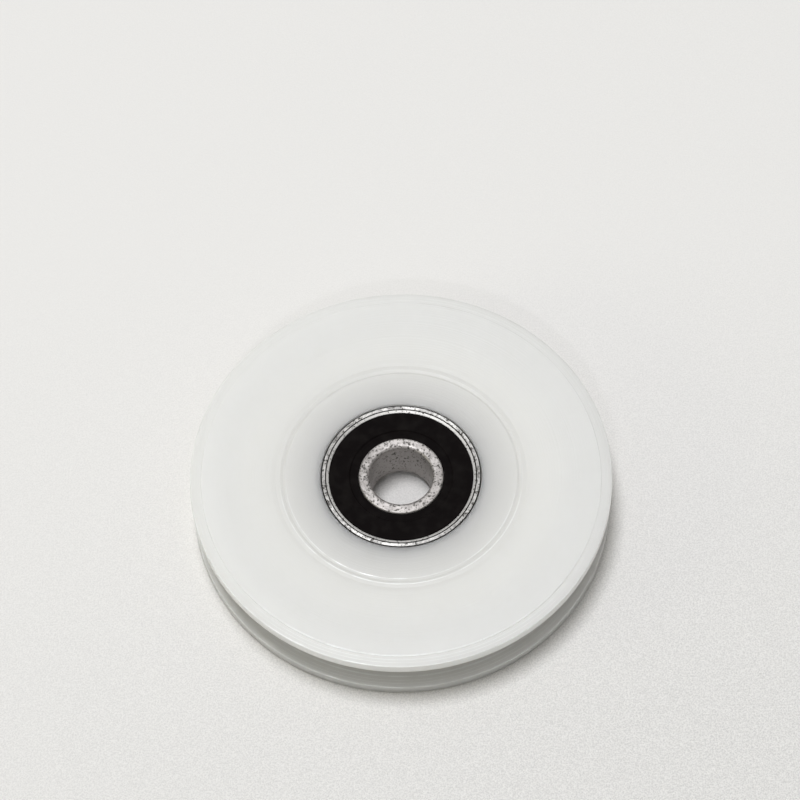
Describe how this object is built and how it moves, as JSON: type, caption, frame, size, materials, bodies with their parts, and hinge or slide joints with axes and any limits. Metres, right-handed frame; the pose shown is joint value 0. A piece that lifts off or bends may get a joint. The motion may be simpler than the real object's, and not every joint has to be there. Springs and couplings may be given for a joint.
{
  "type": "u-groove pulley",
  "caption": "Moulded natural-white plastic pulley wheel with a U groove for rope or cable, turning on a sealed deep groove ball bearing whose bore fits a round axle.",
  "frame": {"origin": "on the axle line, at the middle of the bore and of the wheel's width", "axes": "+Z along the axle, out of the face that looks up when the wheel lies on its side; +X through the first ball"},
  "size_m": [0.08, 0.08, 0.012],
  "materials": {
    "wheel_plastic": "satin natural plastic, slightly translucent",
    "ring_steel": "ground steel with fine handling marks",
    "seal_rubber": "moulded black rubber, slightly glossy",
    "ball_steel": "polished steel",
    "sheet_steel": "pressed sheet steel"
  },
  "bodies": {
    "inner_ring": {"bearing_inner_ring": "ring_steel"},
    "wheel": {"pulley_wheel": "wheel_plastic", "bearing_outer_ring": "ring_steel", "seal_upper": "seal_rubber", "seal_lower": "seal_rubber", "seal_stiffener_upper": "sheet_steel", "seal_stiffener_lower": "sheet_steel"},
    "cage": {"cage_half_upper": "sheet_steel", "cage_half_lower": "sheet_steel", "cage_rivets": "sheet_steel"},
    "ball_1": {"bearing_ball_1": "ball_steel"},
    "ball_2": {"bearing_ball_2": "ball_steel"},
    "ball_3": {"bearing_ball_3": "ball_steel"},
    "ball_4": {"bearing_ball_4": "ball_steel"},
    "ball_5": {"bearing_ball_5": "ball_steel"},
    "ball_6": {"bearing_ball_6": "ball_steel"},
    "ball_7": {"bearing_ball_7": "ball_steel"}
  },
  "joints": [
    {"name": "wheel_spin", "type": "hinge", "parent": "inner_ring", "child": "wheel", "pos_m": [0, 0, 0], "axis": [0, 0, 1], "continuous": true},
    {"name": "cage_orbit", "type": "hinge", "parent": "inner_ring", "child": "cage", "pos_m": [0, 0, 0], "axis": [0, 0, 1], "continuous": true},
    {"name": "ball_1_roll", "type": "hinge", "parent": "cage", "child": "ball_1", "pos_m": [0.011, 0, 0], "axis": [0, 0, 1], "continuous": true},
    {"name": "ball_2_roll", "type": "hinge", "parent": "cage", "child": "ball_2", "pos_m": [0.00686, 0.0086, 0], "axis": [0, 0, 1], "continuous": true},
    {"name": "ball_3_roll", "type": "hinge", "parent": "cage", "child": "ball_3", "pos_m": [-0.00245, 0.01072, 0], "axis": [0, 0, 1], "continuous": true},
    {"name": "ball_4_roll", "type": "hinge", "parent": "cage", "child": "ball_4", "pos_m": [-0.00991, 0.00477, 0], "axis": [0, 0, 1], "continuous": true},
    {"name": "ball_5_roll", "type": "hinge", "parent": "cage", "child": "ball_5", "pos_m": [-0.00991, -0.00477, 0], "axis": [0, 0, 1], "continuous": true},
    {"name": "ball_6_roll", "type": "hinge", "parent": "cage", "child": "ball_6", "pos_m": [-0.00245, -0.01072, 0], "axis": [0, 0, 1], "continuous": true},
    {"name": "ball_7_roll", "type": "hinge", "parent": "cage", "child": "ball_7", "pos_m": [0.00686, -0.0086, 0], "axis": [0, 0, 1], "continuous": true}
  ],
  "couplings": [
    {"joint": "cage_orbit", "follows": "wheel_spin", "ratio": 0.635},
    {"joint": "ball_1_roll", "follows": "wheel_spin", "ratio": 1.7169},
    {"joint": "ball_2_roll", "follows": "wheel_spin", "ratio": 1.7169},
    {"joint": "ball_3_roll", "follows": "wheel_spin", "ratio": 1.7169},
    {"joint": "ball_4_roll", "follows": "wheel_spin", "ratio": 1.7169},
    {"joint": "ball_5_roll", "follows": "wheel_spin", "ratio": 1.7169},
    {"joint": "ball_6_roll", "follows": "wheel_spin", "ratio": 1.7169},
    {"joint": "ball_7_roll", "follows": "wheel_spin", "ratio": 1.7169}
  ]
}
